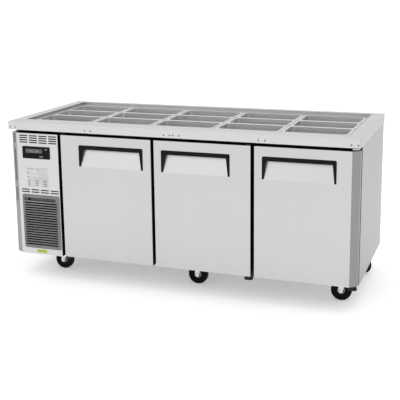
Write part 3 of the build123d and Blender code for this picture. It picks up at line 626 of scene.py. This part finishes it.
def labels():
    """A blank specification label with plain rules and blocks, and a blank sticker at the foot."""
    low, high = BOX["louvre_panel"]
    front = low.y
    housing_low = BOX["controller_housing"][0]
    left, top = housing_low.x + 18 * MM, housing_low.z - 46 * MM
    wide, tall = 124 * MM, 106 * MM
    place = facing((left + wide / 2, front, top - tall / 2), FRONT)
    paper = Piece().plate(place, wide, tall, 0.15 * MM, 3 * MM, 0.05 * MM)
    paper.done("spec_label", "cabinet", "casing_steel", PAPER)
    marks = Piece()
    y = front - 0.14 * MM

    def dash(x, z, long, thick):
        place = facing((left + x * MM, y, top - z * MM), FRONT)
        marks.plate(place, long * MM, thick * MM, 0.06 * MM, thick * MM * 0.3)

    for i in range(5):
        dash(10 + i * 14, 8, 9, 2.6)
    for z in (30, 52):
        dash(9, z, 11, 4.5)
        dash(70, z + 3, 90, 0.7)
    for row in range(4):
        for x, long in ((12, 18), (58, 22), (104, 20)):
            dash(x, 68 + row * 9, long, 3.2)
    marks.done("spec_label_marks", "cabinet", "casing_steel", INK)
    grille_low, grille_high = BOX["filter_grille"]
    centre = ((grille_low.x + grille_high.x) / 2 - 8 * MM, front, low.z + 17 * MM)
    sticker = Piece().plate(facing(centre, FRONT), 59 * MM, 15 * MM, 0.2 * MM, 2.5 * MM, 0.08 * MM)
    sticker.done("yellow_sticker", "cabinet", "casing_steel", STICKER)


def grille_parts():
    """The net behind the filter's slots, the ribs that stiffen its bars, and a plate in its finger recess;
    ribs and plate wear a darker copy of the grille's plastic, as painted shade.
    """
    low, high = BOX["filter_grille"]
    slots_x = (low.x + 11.6 * MM, high.x - 15 * MM)
    slots_z = (low.z + 15 * MM, low.z + 250 * MM)
    middle = (sum(slots_x) / 2, sum(slots_z) / 2)
    wide, tall = slots_x[1] - slots_x[0], slots_z[1] - slots_z[0]
    place = facing((middle[0], high.y + 0.5 * MM, middle[1]), FRONT)
    net = Piece().plate(place, wide + 4 * MM, tall, 0.6 * MM, 3 * MM)
    net.done("filter_net", "filter_grille", "black_plastic", NET)
    ribs = Piece()
    for i in (1, 2, 3):
        x = slots_x[0] + wide * i / 4
        ribs.plate(facing((x, high.y - 0.2 * MM, middle[1]), FRONT), 3 * MM, tall - 2 * MM, 4 * MM, MM)
    ribs.done("filter_ribs", "filter_grille", "grille_plastic", GRILLE_IN_SHADE)
    knob = BOX["grille_knob"]
    z = (knob[0].z + knob[1].z) / 2
    long = slots_x[1] - 7 * MM - slots_x[0] - 26 * MM
    place = facing((slots_x[0] + 26 * MM + long / 2, low.y + 7 * MM, z), FRONT)
    # Painted shade: a dark plate lines the finger recess.
    liner = Piece().plate(place, long, 14 * MM, 0.4 * MM, 2 * MM)
    liner.done("recess_liner", "filter_grille", "grille_plastic", GRILLE_IN_SHADE)


# --- Casters -----------------------------------------------------------------------------------


def caster_details():
    """Bright bearing rings on both sides of each wheel's hub."""
    for name in frame["bodies"]:
        if not name.startswith("wheel_"):
            continue
        place = name.replace("wheel_", "")
        low, high = BOX[f"caster_wheel_{place}"]
        joint = next(j for j in frame["joints"] if j["child"] == name)
        axis = Vector(joint["axis"])
        centre = (low + high) / 2
        rings = Piece()
        profile = ((14 * MM, 0), (18 * MM, 0), (18 * MM, MM), (17 * MM, 2 * MM), (14 * MM, 2.4 * MM))
        for side in (-1, 1):
            rings.turned(facing(centre + axis * side * 12.2 * MM, axis * side), profile, ring=True)
        rings.done(f"bearing_rings_{place}", name, "zinc", ZINC)


# --- Light and floor -----------------------------------------------------------------------


def area(name, place, aim, size, power):
    data = bpy.data.lights.new(name, "AREA")
    data.shape = "RECTANGLE"
    data.size, data.size_y = size
    data.energy = power
    lamp = bpy.data.objects.new(name, data)
    lamp.location = place
    lamp.rotation_euler = (Vector(aim) - Vector(place)).to_track_quat("-Z", "Y").to_euler()
    bpy.context.scene.collection.objects.link(lamp)


def light_scene():
    world = bpy.data.worlds.new("studio")
    world.use_nodes = True
    world.node_tree.nodes["Background"].inputs["Color"].default_value = (1, 1, 1, 1)
    world.node_tree.nodes["Background"].inputs["Strength"].default_value = 0.95
    bpy.context.scene.world = world
    bpy.context.scene.view_settings.view_transform = "Standard"
    area("key", (-2.6, -4.2, 3.4), (0, 0, 0.4), (4.5, 3.0), 14)
    area("top", (0.4, 0.6, 4.2), (0, 0, 0.6), (4.0, 2.4), 25)
    mesh = bpy.data.meshes.new("floor")
    half = 90
    corners = [(-half, -half, 0), (half, -half, 0), (half, half, 0), (-half, half, 0)]
    mesh.from_pydata(corners, [], [(0, 1, 2, 3)])
    floor = bpy.data.objects.new("floor", mesh)
    bpy.context.scene.collection.objects.link(floor)
    s = Shader("floor")
    s.set(Base_Color=s.mix(s.noise(3), grey(0.93), grey(0.95)), Roughness=0.9)
    s.set(Emission_Color=(1, 1, 1, 1), Emission_Strength=0.3, Specular_IOR_Level=0.1)
    floor.data.materials.append(s.material)


make_camera()
dress_nodes()
door_gap_films()
face_seals()
compartment_lining()
louvre_felts()
rivet_nuts()
hinge_caps()
gaskets()
controller_face()
labels()
grille_parts()
caster_details()
light_scene()
